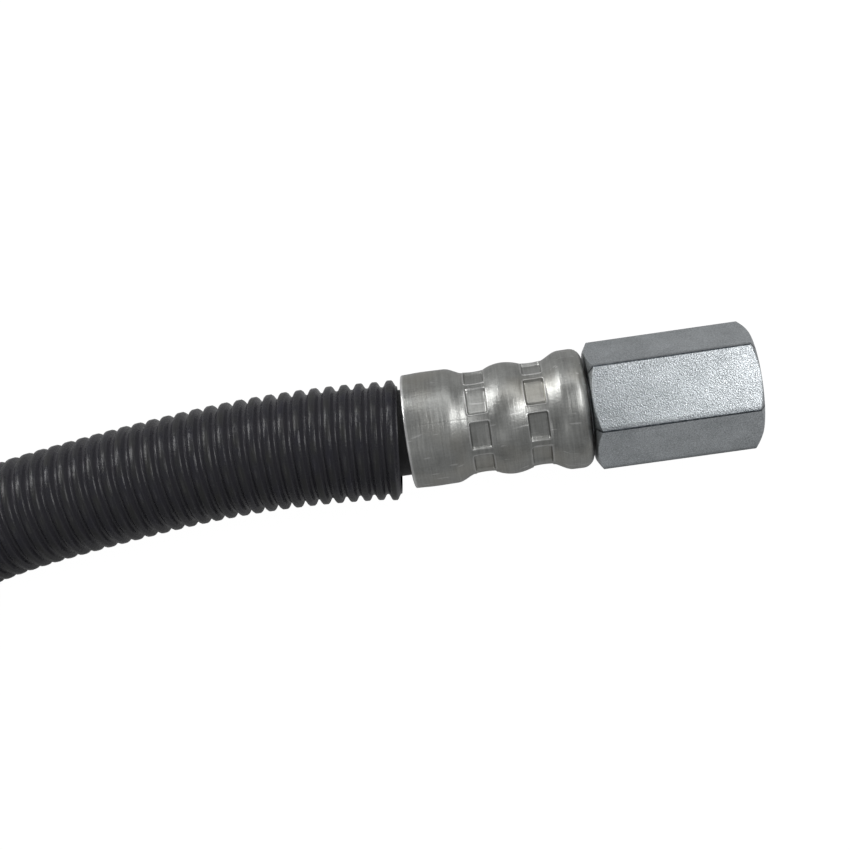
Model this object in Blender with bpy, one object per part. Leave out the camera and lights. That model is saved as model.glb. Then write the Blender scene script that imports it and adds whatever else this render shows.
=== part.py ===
"""Power steering hose.

A rubber hose is crimped into a steel ferrule at each end, over the barbed stem
of a long hexagonal coupling. A loose convoluted sleeve covers the hose between
the two ferrules.

Metres, +Z up. The hose lies on a floor at z = 0. The near coupling's axis runs
along +X over the X axis, and its port faces +X. A hose end is drawn about its
own axis, with x = 0 at the mouth of the ferrule, where the hose comes out.
"""

import math

import bmesh
import bpy
import numpy as np
from mathutils import Vector

# Gaps between pieces
TOUCH_GAP = 0.0003
FERRULE_TO_HEX_GAP = 0.0004

# Rubber hose
HOSE_BORE_RADIUS = 0.00475
HOSE_WALL = 0.00385
SQUEEZED_WALL = 0.0020

# Barbed stem of the coupling
STEM_LENGTH = 0.0245
STEM_GRIP = 0.00005
STEM_WALL = 0.0012
STEM_TIP_CHAMFER = 0.0006
BARB_HEIGHT = 0.0004
BARB_COUNT = 4
BARB_PITCH = 0.0045
BARB_BACK = 0.0005
COLLAR_HEIGHT = 0.0010
COLLAR_LENGTH = 0.0030
NECK_WALL = 0.0028

# Hexagonal body of the coupling
HEX_CORNERS = 6
HEX_ACROSS_FLATS = 0.0222
HEX_LENGTH = 0.0322
HEX_ROLL = math.radians(5.5)
CHAMFER_ANGLE = math.radians(30.0)
CHAMFER_INSET = 0.0003
PORT_RADIUS = 0.0072
PORT_DEPTH = 0.0170
PORT_LEAD_IN = 0.0010
SEAT_DEPTH = 0.0023

# Crimped ferrule
FERRULE_LENGTH = 0.0359
FERRULE_WALL = 0.0019
MOUTH_CLEARANCE = 0.0010
RIM_ROUND = 0.0003
LIP_THICKNESS = 0.0020
NOSE_ROUND = 0.0024
JAW_COUNT = 9
JAW_ROLL = math.radians(5.0)
PAD_SPAN = math.radians(30.0)
RIDGE_RISE = 0.0007
CRIMP_LENGTH = 0.0039
CRIMP_TO_NOSE = 0.0082
CRIMP_SPACING = 0.0114
BARREL_EASE = 0.0040
BULGE_EASE = 0.0038
WAIST_RISE = 0.00115
WAIST_FULLNESS = 0.75
BULGE_RISE = 0.0004

# Convoluted sleeve
SLEEVE_CLEARANCE = 0.00125
SLEEVE_WALL = 0.0005
RIB_HEIGHT = 0.00115
RIB_PITCH = 0.00294
END_RIB_FLARE = 0.00015
SLEEVE_END_GAP = 0.0015
SLEEVE_DROP = 0.0001
SLEEVE_SHIFT = 0.00135
SLEEVE_WIDENING = 0.0004
SLEEVE_LOOSE_RUN = 0.045

# Route of the hose from the near ferrule's mouth: nearly straight, then half a turn, then straight again
NEAR_RUN = (
    (0.0, 0.0),
    (-0.0100, 0.0),
    (-0.0220, -0.0001),
    (-0.0380, -0.0007),
    (-0.0530, -0.0020),
    (-0.0680, -0.0038),
    (-0.0830, -0.0061),
)
TURN_RADIUS = 0.0920
TURN_CENTRE = (-0.0694, -0.0974)
TURN_START = math.radians(120.0)
TURN_END = math.radians(270.0)
TURN_POINTS = 9
FAR_RUN = 0.0124

# Fineness of the meshes
LINE_STEP = 0.0005
HOSE_STEP = 0.0135
SLEEVE_BORE_STEP = 0.0135
TUBE_SIDES = 12
COUPLING_SIDES = 24
WAIST_STEPS = 5
EASE_STEPS = 3
NOSE_STEPS = 3
SHARP_ANGLE = math.radians(35.0)

# Sizes that follow from the ones above
HOSE_RADIUS = HOSE_BORE_RADIUS + HOSE_WALL
BARB_RADIUS = HOSE_BORE_RADIUS + STEM_GRIP
STEM_RADIUS = BARB_RADIUS - BARB_HEIGHT
PASSAGE_RADIUS = STEM_RADIUS - STEM_WALL
NECK_RADIUS = PASSAGE_RADIUS + NECK_WALL
HEX_APOTHEM = HEX_ACROSS_FLATS / 2
HEX_CORNER_RADIUS = HEX_APOTHEM / math.cos(math.pi / HEX_CORNERS)
CHAMFER_CIRCLE_RADIUS = HEX_APOTHEM - CHAMFER_INSET
BARREL_RADIUS = HOSE_RADIUS + MOUTH_CLEARANCE + FERRULE_WALL
BULGE_RADIUS = BARREL_RADIUS + BULGE_RISE
SQUEEZED_RADIUS = BARB_RADIUS + TOUCH_GAP + SQUEEZED_WALL
CRIMP_RADIUS = SQUEEZED_RADIUS + TOUCH_GAP + FERRULE_WALL
JAW_STEP = math.tau / JAW_COUNT
WAIST_RADIUS = CRIMP_RADIUS + RIDGE_RISE + WAIST_RISE
LIP_X = FERRULE_LENGTH - LIP_THICKNESS
HEX_X = FERRULE_LENGTH + FERRULE_TO_HEX_GAP
COLLAR_X = LIP_X - TOUCH_GAP - COLLAR_LENGTH
HOSE_END_X = COLLAR_X - TOUCH_GAP
STEM_TIP_X = COLLAR_X - STEM_LENGTH
SECOND_CRIMP_X = FERRULE_LENGTH - CRIMP_TO_NOSE - CRIMP_LENGTH
FIRST_CRIMP_X = SECOND_CRIMP_X - CRIMP_SPACING
END_LENGTH = HEX_X + HEX_LENGTH
MOUTH_X = -END_LENGTH / 2
AXIS_HEIGHT = max(BULGE_RADIUS, HEX_CORNER_RADIUS * math.cos(math.pi / HEX_CORNERS - HEX_ROLL))
SLEEVE_BORE_RADIUS = HOSE_RADIUS + SLEEVE_CLEARANCE
SLEEVE_GROOVE_RADIUS = SLEEVE_BORE_RADIUS + SLEEVE_WALL
SLEEVE_CREST_RADIUS = SLEEVE_GROOVE_RADIUS + RIB_HEIGHT


def clear_scene():
    """Take every object out of the scene."""
    for thing in list(bpy.data.objects):
        bpy.data.objects.remove(thing, do_unlink=True)


def make_material(name, colour, roughness, metallic=0.0):
    """A plain material of one colour."""
    material = bpy.data.materials.new(name)
    material.use_nodes = True
    shader = material.node_tree.nodes["Principled BSDF"]
    shader.inputs["Base Color"].default_value = (*colour, 1.0)
    shader.inputs["Roughness"].default_value = roughness
    shader.inputs["Metallic"].default_value = metallic
    return material


def lofted_shell(name, outer_rings, inner_rings, material):
    """A closed tube wall: the outer rings in order, then the inner rings on the way back.

    Every ring has the same number of points. The first outer ring joins the first
    inner ring, and the last outer ring joins the last inner one.
    """
    shape = bmesh.new()
    rows = [[shape.verts.new(point) for point in ring] for ring in outer_rings + inner_rings[::-1]]
    sides = len(rows[0])
    for index, row in enumerate(rows):
        following = rows[(index + 1) % len(rows)]
        for side in range(sides):
            after = (side + 1) % sides
            shape.faces.new((row[side], row[after], following[after], following[side]))
    bmesh.ops.recalc_face_normals(shape, faces=shape.faces)
    mesh = bpy.data.meshes.new(name)
    shape.to_mesh(mesh)
    shape.free()
    mesh.materials.append(material)
    mesh.shade_smooth()
    mesh.set_sharp_from_angle(angle=SHARP_ANGLE)
    return place(name, mesh, Vector((0.0, 0.0, 0.0)))


def place(name, mesh, location):
    """Put a mesh in the scene as an object of its own."""
    thing = bpy.data.objects.new(name, mesh)
    thing.location = location
    bpy.context.scene.collection.objects.link(thing)
    return thing


def angles(sides):
    """Even angles round a section, from +Y towards +Z."""
    return [math.tau * side / sides for side in range(sides)]


def polygon_radius(angle, corners, apothem, flat_angle):
    """Radius at an angle of a regular polygon that has a flat facing flat_angle."""
    step = math.tau / corners
    off_flat = (angle - flat_angle + step / 2) % step - step / 2
    return apothem / math.cos(off_flat)


def turned_ring(x, radius):
    """A round ring of the coupling, whose points line up with those on the hexagon."""
    return [(x, radius * math.cos(a - HEX_ROLL), radius * math.sin(a - HEX_ROLL)) for a in angles(COUPLING_SIDES)]


def hexagon_ring(x, chamfer_side):
    """A ring on the flats of the hexagon, bowed to where the turned chamfer cuts them.

    chamfer_side is +1 at the hexagon's port end and -1 at its ferrule end.
    """
    upper_flat = math.pi / 2 - HEX_ROLL
    ring = []
    for angle in angles(COUPLING_SIDES):
        rolled = angle - HEX_ROLL
        radius = polygon_radius(rolled, HEX_CORNERS, HEX_APOTHEM, upper_flat)
        bow = (radius - CHAMFER_CIRCLE_RADIUS) * math.tan(CHAMFER_ANGLE)
        ring.append((x - chamfer_side * bow, radius * math.cos(rolled), radius * math.sin(rolled)))
    return ring


def coupling_object(name, material):
    """The hexagonal coupling with its port, lock neck, collar and barbed stem."""
    front = HEX_X + HEX_LENGTH
    collar_end = COLLAR_X + COLLAR_LENGTH
    collar_radius = NECK_RADIUS + COLLAR_HEIGHT
    outer = [
        turned_ring(STEM_TIP_X, STEM_RADIUS - STEM_TIP_CHAMFER / 2),
        turned_ring(STEM_TIP_X + STEM_TIP_CHAMFER, STEM_RADIUS),
    ]
    first_barb = COLLAR_X - BARB_BACK - BARB_COUNT * BARB_PITCH
    for barb in range(BARB_COUNT):
        start = first_barb + barb * BARB_PITCH
        outer.append(turned_ring(start, STEM_RADIUS))
        outer.append(turned_ring(start + BARB_PITCH - BARB_BACK, BARB_RADIUS))
    outer += [
        turned_ring(first_barb + BARB_COUNT * BARB_PITCH, STEM_RADIUS),
        turned_ring(COLLAR_X, STEM_RADIUS),
        turned_ring(COLLAR_X, collar_radius),
        turned_ring(collar_end, collar_radius),
        turned_ring(collar_end, NECK_RADIUS),
        turned_ring(HEX_X, NECK_RADIUS),
        turned_ring(HEX_X, CHAMFER_CIRCLE_RADIUS),
        hexagon_ring(HEX_X, -1),
        hexagon_ring(front, 1),
        turned_ring(front, CHAMFER_CIRCLE_RADIUS),
    ]
    inner = [
        turned_ring(STEM_TIP_X, PASSAGE_RADIUS),
        turned_ring(front - PORT_DEPTH - SEAT_DEPTH, PASSAGE_RADIUS),
        turned_ring(front - PORT_DEPTH, PORT_RADIUS),
        turned_ring(front - PORT_LEAD_IN, PORT_RADIUS),
        turned_ring(front, PORT_RADIUS + PORT_LEAD_IN),
    ]
    return lofted_shell(name, outer, inner, material)


def eased(start, end, steps):
    """Rows between two (x, radius, crimp) rows, on a soft S from one to the other."""
    rows = []
    for step in range(1, steps):
        share = step / steps
        soft = (1 - math.cos(math.pi * share)) / 2
        x = start[0] + (end[0] - start[0]) * share
        rows.append((x, *(a + (b - a) * soft for a, b in zip(start[1:], end[1:]))))
    return rows


def arched(start, end, top_radius, steps):
    """Rows between two (x, radius, crimp) rows of the same radius, over a round hump that isn't crimped."""
    rows = []
    for step in range(1, steps):
        share = step / steps
        lift = math.sin(math.pi * share) ** WAIST_FULLNESS
        x = start[0] + (end[0] - start[0]) * share
        rows.append((x, start[1] + (top_radius - start[1]) * lift, start[2] * (1 - lift)))
    return rows


def ferrule_rows(ease_steps, waist_steps, inset):
    """The ferrule's outline as (x, radius, crimp) rows from rim to bulge, moved in by inset.

    crimp is 1 where the jaws have pressed the shell and 0 where it is round.
    """
    barrel_end = (FIRST_CRIMP_X - BARREL_EASE, BARREL_RADIUS - inset, 0.0)
    first_start = (FIRST_CRIMP_X, CRIMP_RADIUS - inset, 1.0)
    first_end = (FIRST_CRIMP_X + CRIMP_LENGTH, CRIMP_RADIUS - inset, 1.0)
    second_start = (SECOND_CRIMP_X, CRIMP_RADIUS - inset, 1.0)
    second_end = (SECOND_CRIMP_X + CRIMP_LENGTH, CRIMP_RADIUS - inset, 1.0)
    bulge_start = (second_end[0] + BULGE_EASE, BULGE_RADIUS - inset, 0.0)
    rows = [(0.0, BARREL_RADIUS - inset, 0.0), barrel_end]
    rows += eased(barrel_end, first_start, ease_steps)
    rows += [first_start, first_end]
    rows += arched(first_end, second_start, WAIST_RADIUS - inset, waist_steps)
    rows += [second_start, second_end]
    rows += eased(second_end, bulge_start, ease_steps)
    rows.append(bulge_start)
    return rows


def crimped_ring(x, radius, crimp):
    """A ring of the ferrule between round and what the jaws leave: flat pads with raised ridges between them."""
    pad_edge = radius / math.cos(PAD_SPAN / 2)
    pressed_points = (
        (0.0, radius),
        (PAD_SPAN / 2, pad_edge),
        (JAW_STEP / 2, radius + RIDGE_RISE),
        (JAW_STEP - PAD_SPAN / 2, pad_edge),
    )
    first_pad = math.pi / 2 - JAW_ROLL + JAW_STEP / 2
    ring = []
    for jaw in range(JAW_COUNT):
        for turn, pressed in pressed_points:
            angle = first_pad + jaw * JAW_STEP + turn
            reach = radius + (pressed - radius) * crimp
            ring.append((x, reach * math.cos(angle), reach * math.sin(angle)))
    return ring


def ferrule_object(name, material):
    """The steel shell, open at the mouth, pressed by the jaws and turned in over the neck."""
    outer = [crimped_ring(0.0, BARREL_RADIUS - RIM_ROUND, 0.0)]
    outer.append(crimped_ring(RIM_ROUND, BARREL_RADIUS, 0.0))
    outer += [crimped_ring(*row) for row in ferrule_rows(EASE_STEPS, WAIST_STEPS, 0.0)[1:]]
    for step in range(NOSE_STEPS + 1):
        turn = math.pi / 2 * step / NOSE_STEPS
        x = FERRULE_LENGTH - NOSE_ROUND + NOSE_ROUND * math.sin(turn)
        outer.append(crimped_ring(x, BULGE_RADIUS - NOSE_ROUND * (1 - math.cos(turn)), 0.0))
    lip_radius = NECK_RADIUS + TOUCH_GAP
    outer.append(crimped_ring(FERRULE_LENGTH, lip_radius, 0.0))
    inner = [crimped_ring(*row) for row in ferrule_rows(1, 2, FERRULE_WALL)]
    inner += [
        crimped_ring(LIP_X, BULGE_RADIUS - FERRULE_WALL, 0.0),
        crimped_ring(LIP_X, lip_radius, 0.0),
    ]
    return lofted_shell(name, outer, inner, material)


class SmoothLine:
    """A smooth curve through the points of a route, read by the distance along it."""

    def __init__(self, points, start_direction, end_direction):
        """Fit one cubic between each two points, with even bending where they meet."""
        points = np.array(points)
        spans = np.linalg.norm(np.diff(points, axis=0), axis=1)
        count = len(points)
        matrix = np.eye(count)
        wanted = np.zeros_like(points)
        wanted[0] = start_direction
        wanted[-1] = end_direction
        for i in range(1, count - 1):
            before, after = spans[i - 1], spans[i]
            matrix[i, i - 1:i + 2] = (after, 2 * (before + after), before)
            wanted[i] = 3 * (after * (points[i] - points[i - 1]) / before
                             + before * (points[i + 1] - points[i]) / after)
        slopes = np.linalg.solve(matrix, wanted)
        line = [points[0]]
        for i, span in enumerate(spans):
            steps = max(2, round(span / LINE_STEP))
            for t in np.arange(1, steps + 1) / steps:
                line.append((2 * t**3 - 3 * t**2 + 1) * points[i] + (t**3 - 2 * t**2 + t) * span * slopes[i]
                            + (3 * t**2 - 2 * t**3) * points[i + 1] + (t**3 - t**2) * span * slopes[i + 1])
        self.line = np.array(line)
        self.travel = np.concatenate(([0.0], np.cumsum(np.linalg.norm(np.diff(self.line, axis=0), axis=1))))
        self.length = float(self.travel[-1])
        self.start_direction = np.array(start_direction)
        self.end_direction = np.array(end_direction)

    def point(self, distance):
        """The point at a distance from the start, straight on past either end."""
        if distance < 0:
            return self.line[0] + self.start_direction * distance
        if distance > self.length:
            return self.line[-1] + self.end_direction * (distance - self.length)
        return np.array([np.interp(distance, self.travel, self.line[:, axis]) for axis in (0, 1)])

    def sideways(self, distance):
        """The level direction square to the line, on its left."""
        step = self.point(distance + LINE_STEP) - self.point(distance - LINE_STEP)
        step = step / np.linalg.norm(step)
        return np.array((-step[1], step[0]))


def hose_route(start):
    """The points that the hose passes through, from its start at the near ferrule's mouth."""
    turn_centre = start + np.array(TURN_CENTRE)
    points = [start + np.array(point) for point in NEAR_RUN]
    for angle in np.linspace(TURN_START, TURN_END, TURN_POINTS):
        points.append(turn_centre + TURN_RADIUS * np.array((math.cos(angle), math.sin(angle))))
    points.append(points[-1] + np.array((FAR_RUN, 0.0)))
    return points


def tube_ring(centre, side, height, radius, widening=0.0):
    """A ring round a point of a level line, in the plane of side and +Z, wider along side by widening."""
    ring = []
    for angle in angles(TUBE_SIDES):
        level = centre + side * ((radius + widening) * math.cos(angle))
        ring.append((level[0], level[1], height + radius * math.sin(angle)))
    return ring


def hose_rings(line, rows):
    """Rings round the line at (distance, radius) rows."""
    return [tube_ring(line.point(d), line.sideways(d), AXIS_HEIGHT, radius) for d, radius in rows]


def spread(start, end, step):
    """Distances from start to end, both included, no more than a step apart."""
    return list(np.linspace(start, end, math.ceil((end - start) / step) + 1))


def hose_object(name, line, material):
    """The hose, squeezed under both ferrules and opened over both stems."""
    def both_ends(end_rows, step):
        """End rows at the near ferrule, even rows along the line and the same at the far ferrule."""
        middle_radius = end_rows[-1][1]
        near = [(-x, radius) for x, radius in end_rows]
        far = [(line.length + x, radius) for x, radius in end_rows[::-1]]
        between = [(d, middle_radius) for d in spread(0.0, line.length, step)]
        return near + between + far

    inside = ferrule_rows(1, 2, FERRULE_WALL + TOUCH_GAP)
    squeezed = [(x, min(HOSE_RADIUS, radius)) for x, radius, _ in inside]
    end_rows = [(HOSE_END_X, HOSE_RADIUS)] + [row for row in squeezed[::-1] if 0 < row[0] < HOSE_END_X]
    over_stem = max(HOSE_BORE_RADIUS, BARB_RADIUS + TOUCH_GAP)
    before_stem = STEM_TIP_X - STEM_TIP_CHAMFER
    bore_rows = [(HOSE_END_X, over_stem), (before_stem, over_stem), (before_stem / 2, HOSE_BORE_RADIUS)]
    outer = hose_rings(line, both_ends(end_rows, HOSE_STEP))
    inner = hose_rings(line, both_ends(bore_rows, HOSE_STEP))
    return lofted_shell(name, outer, inner, material)


class SleeveLine:
    """The sleeve's own centreline, which leans to the inside of the bend at its two loose ends."""

    def __init__(self, line):
        """Start and stop just short of the two ferrules."""
        self.line = line
        self.start = SLEEVE_END_GAP
        self.length = line.length - 2 * SLEEVE_END_GAP

    def looseness(self, distance):
        """1 at either end of the sleeve, falling to 0 where it lies straight on the hose."""
        to_end = min(distance, self.length - distance)
        return max(0.0, 1.0 - to_end / SLEEVE_LOOSE_RUN)

    def centre(self, distance):
        """The point at a distance from the sleeve's near end."""
        along = self.start + distance
        lean = SLEEVE_SHIFT * self.looseness(distance) ** 3
        return self.line.point(along) + self.line.sideways(along) * lean

    def ring(self, distance, radius):
        """A ring square to the sleeve's own centreline, pressed a little wide near the ends."""
        low = max(0.0, distance - LINE_STEP)
        high = min(self.length, distance + LINE_STEP)
        step = self.centre(high) - self.centre(low)
        step = step / np.linalg.norm(step)
        side = np.array((-step[1], step[0]))
        widening = SLEEVE_WIDENING * self.looseness(distance)
        return tube_ring(self.centre(distance), side, AXIS_HEIGHT - SLEEVE_DROP, radius, widening)


def sleeve_object(name, line, material):
    """The sleeve, with one round rib to each pitch and a smooth bore."""
    sleeve = SleeveLine(line)
    ribs = round(sleeve.length / RIB_PITCH)
    pitch = sleeve.length / ribs
    outer = [sleeve.ring(0.0, SLEEVE_GROOVE_RADIUS)]
    for rib in range(ribs):
        flare = END_RIB_FLARE if rib in (0, ribs - 1) else 0.0
        outer.append(sleeve.ring((rib + 0.5) * pitch, SLEEVE_CREST_RADIUS + flare))
        outer.append(sleeve.ring((rib + 1) * pitch, SLEEVE_GROOVE_RADIUS))
    inner = [sleeve.ring(d, SLEEVE_BORE_RADIUS) for d in spread(0.0, sleeve.length, SLEEVE_BORE_STEP)]
    return lofted_shell(name, outer, inner, material)


def main():
    """Build the two ends, the hose and its sleeve."""
    clear_scene()
    zinc = make_material("zinc_plate", (0.56, 0.60, 0.63), 0.36, 0.9)
    steel = make_material("ferrule_steel", (0.36, 0.36, 0.34), 0.42, 0.9)
    rubber = make_material("hose_rubber", (0.02, 0.02, 0.022), 0.6)
    plastic = make_material("sleeve_plastic", (0.012, 0.012, 0.016), 0.28)

    line = SmoothLine(hose_route(np.array((MOUTH_X, 0.0))), (-1.0, 0.0), (1.0, 0.0))
    near_place = Vector((*line.point(0.0), AXIS_HEIGHT))
    far_place = Vector((*line.point(line.length), AXIS_HEIGHT))

    coupling = coupling_object("end_coupling", zinc)
    coupling.location = near_place
    place("far_end_coupling", coupling.data, far_place)
    ferrule = ferrule_object("crimp_ferrule", steel)
    ferrule.location = near_place
    place("far_crimp_ferrule", ferrule.data, far_place)
    hose_object("rubber_hose", line, rubber)
    sleeve_object("convoluted_sleeve", line, plastic)


main()
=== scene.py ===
"""Dresses the power steering hose: plated hexagonal couplings, crimped ferrules, hose and ribbed sleeve.

Metres, +Z up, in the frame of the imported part. An end of the hose is drawn about its own axis, with x = 0 at
the mouth of its ferrule, and is then moved to where that end lies.
"""

import logging
import math
from collections.abc import Callable, Iterable, Sequence
from dataclasses import dataclass, field
from enum import Enum
from typing import Any, ClassVar

import bmesh
import bpy
import numpy as np
from mathutils import Matrix, Vector


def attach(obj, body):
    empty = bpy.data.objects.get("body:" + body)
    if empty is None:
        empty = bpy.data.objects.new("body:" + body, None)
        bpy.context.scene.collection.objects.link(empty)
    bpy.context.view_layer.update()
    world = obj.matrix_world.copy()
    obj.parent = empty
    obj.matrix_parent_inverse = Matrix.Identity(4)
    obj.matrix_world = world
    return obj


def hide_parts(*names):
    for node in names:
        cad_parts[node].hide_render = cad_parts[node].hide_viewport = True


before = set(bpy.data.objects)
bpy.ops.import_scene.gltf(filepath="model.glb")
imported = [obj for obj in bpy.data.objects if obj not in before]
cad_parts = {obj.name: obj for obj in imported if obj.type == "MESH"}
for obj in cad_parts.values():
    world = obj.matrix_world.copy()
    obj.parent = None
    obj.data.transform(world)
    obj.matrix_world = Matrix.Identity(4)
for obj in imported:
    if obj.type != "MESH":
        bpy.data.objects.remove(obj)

LOG = logging.getLogger("hose")
BODY = "root"

Point = tuple[float, float, float]
Ring = list[Point]
Row = tuple[float, float]
Span = tuple[float, float]
Colour = tuple[float, float, float, float]
Socket = bpy.types.NodeSocket
WHITE: Colour = (1.0, 1.0, 1.0, 1.0)


class End(Enum):
    """Which end of the hose a piece belongs to."""

    NEAR = "near"
    FAR = "far"


class Slot(Enum):
    """The record's material slots."""

    ZINC = "zinc_plate"
    STEEL = "ferrule_steel"
    RUBBER = "hose_rubber"
    PLASTIC = "sleeve_plastic"


@dataclass(frozen=True)
class HoseSizes:
    """Sizes that more than one piece needs, as in the part itself."""

    touch_gap: float = 0.0003
    ferrule_to_hex_gap: float = 0.0004
    bore_radius: float = 0.00475
    wall: float = 0.00385
    ferrule_length: float = 0.0359
    ferrule_wall: float = 0.0019
    lip_thickness: float = 0.0020
    collar_length: float = 0.0030
    hex_length: float = 0.0322
    neck_radius: float = 0.0060
    stem_radius: float = 0.0044
    barb_radius: float = 0.0048
    axis_height: float = 0.0119

    @property
    def radius(self) -> float:
        """Outer radius of the hose where nothing squeezes it."""
        return self.bore_radius + self.wall

    @property
    def hex_x(self) -> float:
        """Where the hexagon starts."""
        return self.ferrule_length + self.ferrule_to_hex_gap

    @property
    def lip_x(self) -> float:
        """Inner face of the lip that holds the ferrule on the neck."""
        return self.ferrule_length - self.lip_thickness

    @property
    def collar_x(self) -> float:
        """Face of the collar that the hose butts against."""
        return self.lip_x - self.touch_gap - self.collar_length

    @property
    def hose_end_x(self) -> float:
        """How far the hose goes into its ferrule."""
        return self.collar_x - self.touch_gap

    @property
    def mouth_x(self) -> float:
        """Place of the near ferrule's mouth on the X axis."""
        return -(self.hex_x + self.hex_length) / 2


SIZES = HoseSizes()


def hose_route(start: np.ndarray) -> list[np.ndarray]:
    """The points that the hose passes through: nearly straight, then half a turn, then straight again.

    Args:
        start: The mouth of the near ferrule, seen from above.

    Returns:
        The points up to the mouth of the far ferrule.
    """
    near_run = ((0.0, 0.0), (-0.0100, 0.0), (-0.0220, -0.0001), (-0.0380, -0.0007), (-0.0530, -0.0020),
                (-0.0680, -0.0038), (-0.0830, -0.0061))
    turn_centre = start + np.array((-0.0694, -0.0974))
    turn_radius = 0.0920
    turn_angles = np.radians(np.linspace(120.0, 270.0, 9))
    last_run = np.array((0.0124, 0.0))
    points = [start + np.array(point) for point in near_run]
    for angle in turn_angles:
        points.append(turn_centre + turn_radius * np.array((math.cos(angle), math.sin(angle))))
    points.append(points[-1] + last_run)
    return points


class SmoothLine:
    """A smooth level curve through the points of a route, read by the distance along it."""

    STEP = 0.0005

    def __init__(self, points: Sequence[np.ndarray], start: Sequence[float], end: Sequence[float]) -> None:
        """Fit one cubic between each two points, with even bending where they meet.

        Args:
            points: The route's own points.
            start: Unit direction in which the line sets out.
            end: Unit direction in which it arrives.
        """
        knots = np.array(points)
        spans = np.linalg.norm(np.diff(knots, axis=0), axis=1)
        count = len(knots)
        matrix = np.eye(count)
        wanted = np.zeros_like(knots)
        wanted[0] = start
        wanted[-1] = end
        for i in range(1, count - 1):
            before, after = spans[i - 1], spans[i]
            matrix[i, i - 1:i + 2] = (after, 2 * (before + after), before)
            back = knots[i] - knots[i - 1]
            ahead = knots[i + 1] - knots[i]
            wanted[i] = 3 * (after * back / before + before * ahead / after)
        slopes = np.linalg.solve(matrix, wanted)
        line = [knots[0]]
        for i, span in enumerate(spans):
            steps = max(2, round(span / self.STEP))
            for t in np.arange(1, steps + 1) / steps:
                line.append((2 * t**3 - 3 * t**2 + 1) * knots[i] + (t**3 - 2 * t**2 + t) * span * slopes[i]
                            + (3 * t**2 - 2 * t**3) * knots[i + 1] + (t**3 - t**2) * span * slopes[i + 1])
        self.line = np.array(line)
        self.travel = np.concatenate(([0.0], np.cumsum(np.linalg.norm(np.diff(self.line, axis=0), axis=1))))
        self.length = float(self.travel[-1])
        self.start = np.array(start)
        self.end = np.array(end)

    def point(self, distance: float) -> np.ndarray:
        """The point at a distance from the start, straight on past either end."""
        if distance < 0:
            return self.line[0] + self.start * distance
        if distance > self.length:
            return self.line[-1] + self.end * (distance - self.length)
        return np.array([np.interp(distance, self.travel, self.line[:, axis]) for axis in (0, 1)])

    def sideways(self, distance: float) -> np.ndarray:
        """The level direction square to the line, on its left."""
        step = self.point(distance + self.STEP) - self.point(distance - self.STEP)
        step = step / np.linalg.norm(step)
        return np.array((-step[1], step[0]))


def spread(start: float, end: float, step: float) -> list[float]:
    """Even values from start to end, both included, no more than a step apart."""
    return list(np.linspace(start, end, math.ceil((end - start) / step) + 1))


def soft_step(value: float, low: float, high: float) -> float:
    """Rise softly from 0 at low to 1 at high."""
    share = min(1.0, max(0.0, (value - low) / (high - low)))
    return share * share * (3 - 2 * share)


def level_ring(centre: np.ndarray, side: np.ndarray, height: float, radius: float, sides: int,
               widening: float = 0.0) -> Ring:
    """A ring round a point of a level line.

    Args:
        centre: Where the line is, seen from above.
        side: Level direction square to the line.
        height: Height of the line.
        radius: Radius of the ring.
        sides: Number of points.
        widening: How much wider the ring is along its side direction.

    Returns:
        The points of the ring.
    """
    ring = []
    for index in range(sides):
        angle = math.tau * index / sides
        level = centre + side * ((radius + widening) * math.cos(angle))
        ring.append((level[0], level[1], height + radius * math.sin(angle)))
    return ring


def shell_mesh(name: str, rings: Sequence[Ring], marks: dict[str, Sequence[Sequence[float]]] | None = None,
               sharp: float = 40.0) -> bpy.types.Mesh:
    """A closed wall through rings that go out along one side and come back along the other.

    Args:
        name: Name of the mesh.
        rings: Rings with the same number of points each; the last one joins the first.
        marks: Named values for each point of each ring, kept on the mesh for its material.
        sharp: Angle in degrees above which an edge stays sharp.

    Returns:
        The mesh, facing out and shaded smooth.
    """
    shape = bmesh.new()
    rows = [[shape.verts.new(point) for point in ring] for ring in rings]
    sides = len(rows[0])
    for index, row in enumerate(rows):
        following = rows[(index + 1) % len(rows)]
        for side in range(sides):
            after = (side + 1) % sides
            shape.faces.new((row[side], row[after], following[after], following[side]))
    bmesh.ops.recalc_face_normals(shape, faces=shape.faces)
    mesh = bpy.data.meshes.new(name)
    shape.to_mesh(mesh)
    shape.free()
    for mark, values in (marks or {}).items():
        layer = mesh.attributes.new(mark, "FLOAT", "POINT")
        layer.data.foreach_set("value", [value for row in values for value in row])
    mesh.shade_smooth()
    mesh.set_sharp_from_angle(angle=math.radians(sharp))
    return mesh


def new_object(name: str, data: Any) -> bpy.types.Object:
    """Put a mesh, a lamp or a camera in the scene."""
    thing = bpy.data.objects.new(name, data)
    bpy.context.scene.collection.objects.link(thing)
    return thing


def add_piece(name: str, mesh: bpy.types.Mesh, material: bpy.types.Material,
              nodes: Iterable[str]) -> bpy.types.Object:
    """Put a mesh in the scene as a piece of the object.

    Args:
        name: Name of the piece.
        mesh: Its mesh.
        material: Its finish.
        nodes: The plain solids that it stands for.

    Returns:
        The new object.
    """
    mesh.materials.append(material)
    piece = new_object(name, mesh)
    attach(piece, BODY)
    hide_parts(*nodes)
    LOG.info("%s: %d faces", name, len(mesh.polygons))
    return piece


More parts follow.
